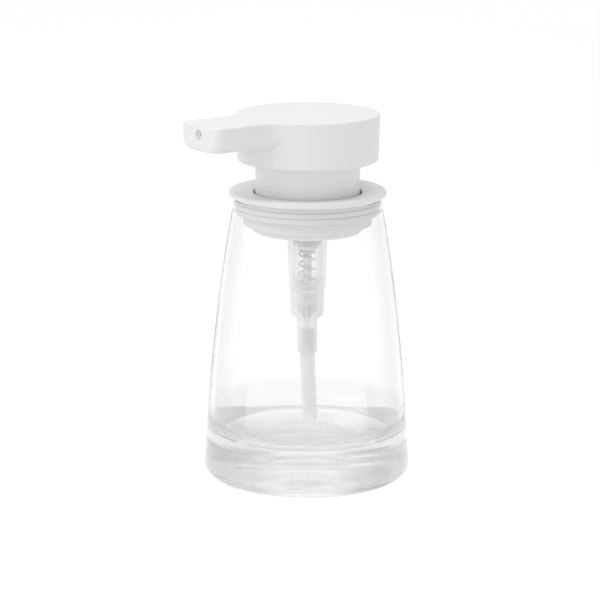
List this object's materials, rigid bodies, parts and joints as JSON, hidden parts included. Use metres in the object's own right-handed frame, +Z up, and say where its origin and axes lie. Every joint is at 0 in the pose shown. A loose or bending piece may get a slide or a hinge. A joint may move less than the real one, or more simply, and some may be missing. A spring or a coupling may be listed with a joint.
{
  "type": "soap pump dispenser",
  "caption": "Tapering glass bottle with a lift-out sealed stopper that carries a spring-return lotion pump under a round push button with a flush spout.",
  "frame": {"origin": "middle of the ring that the vessel stands on", "axes": "+Z up along the vessel's axis; the spout points along -Y; +X to the right when the spout faces the viewer"},
  "size_m": [0.08, 0.0912, 0.1422],
  "materials": {
    "clear_glass": "clear polished soda-lime glass",
    "white_satin": "white ABS with a fine satin moulded skin",
    "white_inner": "plain white polypropylene",
    "soft_white": "matt white silicone",
    "natural_plastic": "translucent natural polypropylene",
    "steel": "drawn stainless wire and polished ball"
  },
  "bodies": {
    "vessel": {"glass_vessel": "clear_glass"},
    "stopper": {"collar": "white_satin", "seal_ring": "soft_white", "seal_retainer": "white_inner", "housing_gasket": "soft_white", "housing_clamp": "white_inner", "pump_housing": "natural_plastic", "stem_guide": "white_inner", "ball_cage": "natural_plastic", "dip_tube": "natural_plastic", "return_spring": "steel"},
    "plunger": {"stem": "white_inner", "valve_pin": "natural_plastic"},
    "piston": {"piston": "white_inner"},
    "ball": {"valve_ball": "steel"},
    "head": {"head_cap": "white_satin", "head_base": "white_satin", "stem_socket": "white_inner", "spout_tube": "white_inner", "spout_cover": "white_satin"}
  },
  "joints": [
    {"name": "stopper_lift", "type": "slide", "parent": "vessel", "child": "stopper", "axis": [0, 0, 1], "range_m": [0, 0.095]},
    {"name": "pump_press", "type": "slide", "parent": "stopper", "child": "plunger", "axis": [0, 0, -1], "range_m": [0, 0.0085], "stiffness_N_per_m": 600, "springref_m": -0.01, "deforming": ["return_spring"]},
    {"name": "head_swivel", "type": "hinge", "parent": "plunger", "child": "head", "pos_m": [0, 0, 0.13], "axis": [0, 0, 1], "continuous": true},
    {"name": "piston_lag", "type": "slide", "parent": "plunger", "child": "piston", "axis": [0, 0, 1], "range_m": [0, 0.0008]},
    {"name": "ball_lift", "type": "slide", "parent": "stopper", "child": "ball", "axis": [0, 0, 1], "range_m": [0, 0.0009]}
  ]
}
